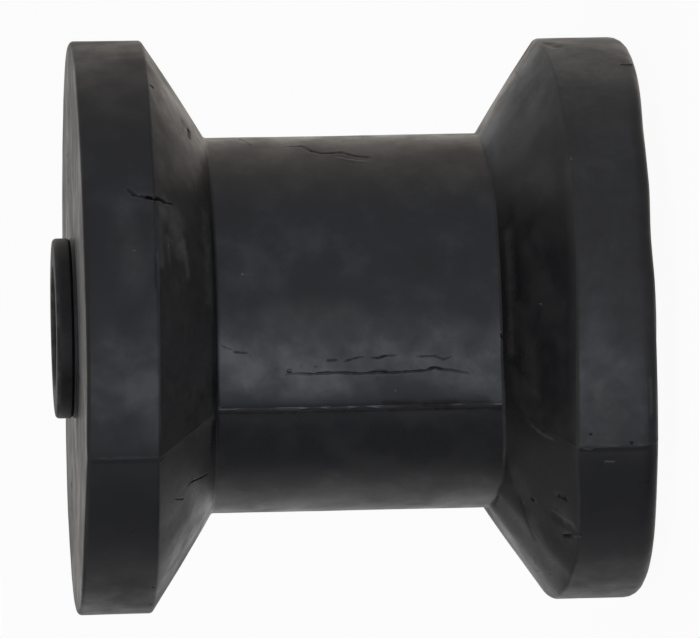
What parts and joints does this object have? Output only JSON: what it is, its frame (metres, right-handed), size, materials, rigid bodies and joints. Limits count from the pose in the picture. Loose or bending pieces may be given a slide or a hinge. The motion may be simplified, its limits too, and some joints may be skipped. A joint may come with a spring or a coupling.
{
  "type": "boat trailer roller",
  "caption": "Cotton-reel keel roller for a boat trailer: black rubber spool with a straight hub, sloping flanks and broad rims, and a flanged bush in each end of its bore.",
  "frame": {"origin": "on the spindle's axis, half way between the two end faces of the rubber", "axes": "+Z along the spindle's axis, towards the end with the narrower rim; the mould's parting plane holds Z and is turned 64 degrees about it from the XZ plane"},
  "size_m": [0.1004, 0.1008, 0.1042],
  "materials": {
    "moulded_rubber": "matt, lightly scuffed, with a mould line along each side",
    "bush_nylon": "satin, turned"
  },
  "bodies": {
    "root": {"rubber_roller": "moulded_rubber", "upper_bush": "bush_nylon", "lower_bush": "bush_nylon"}
  },
  "joints": []
}
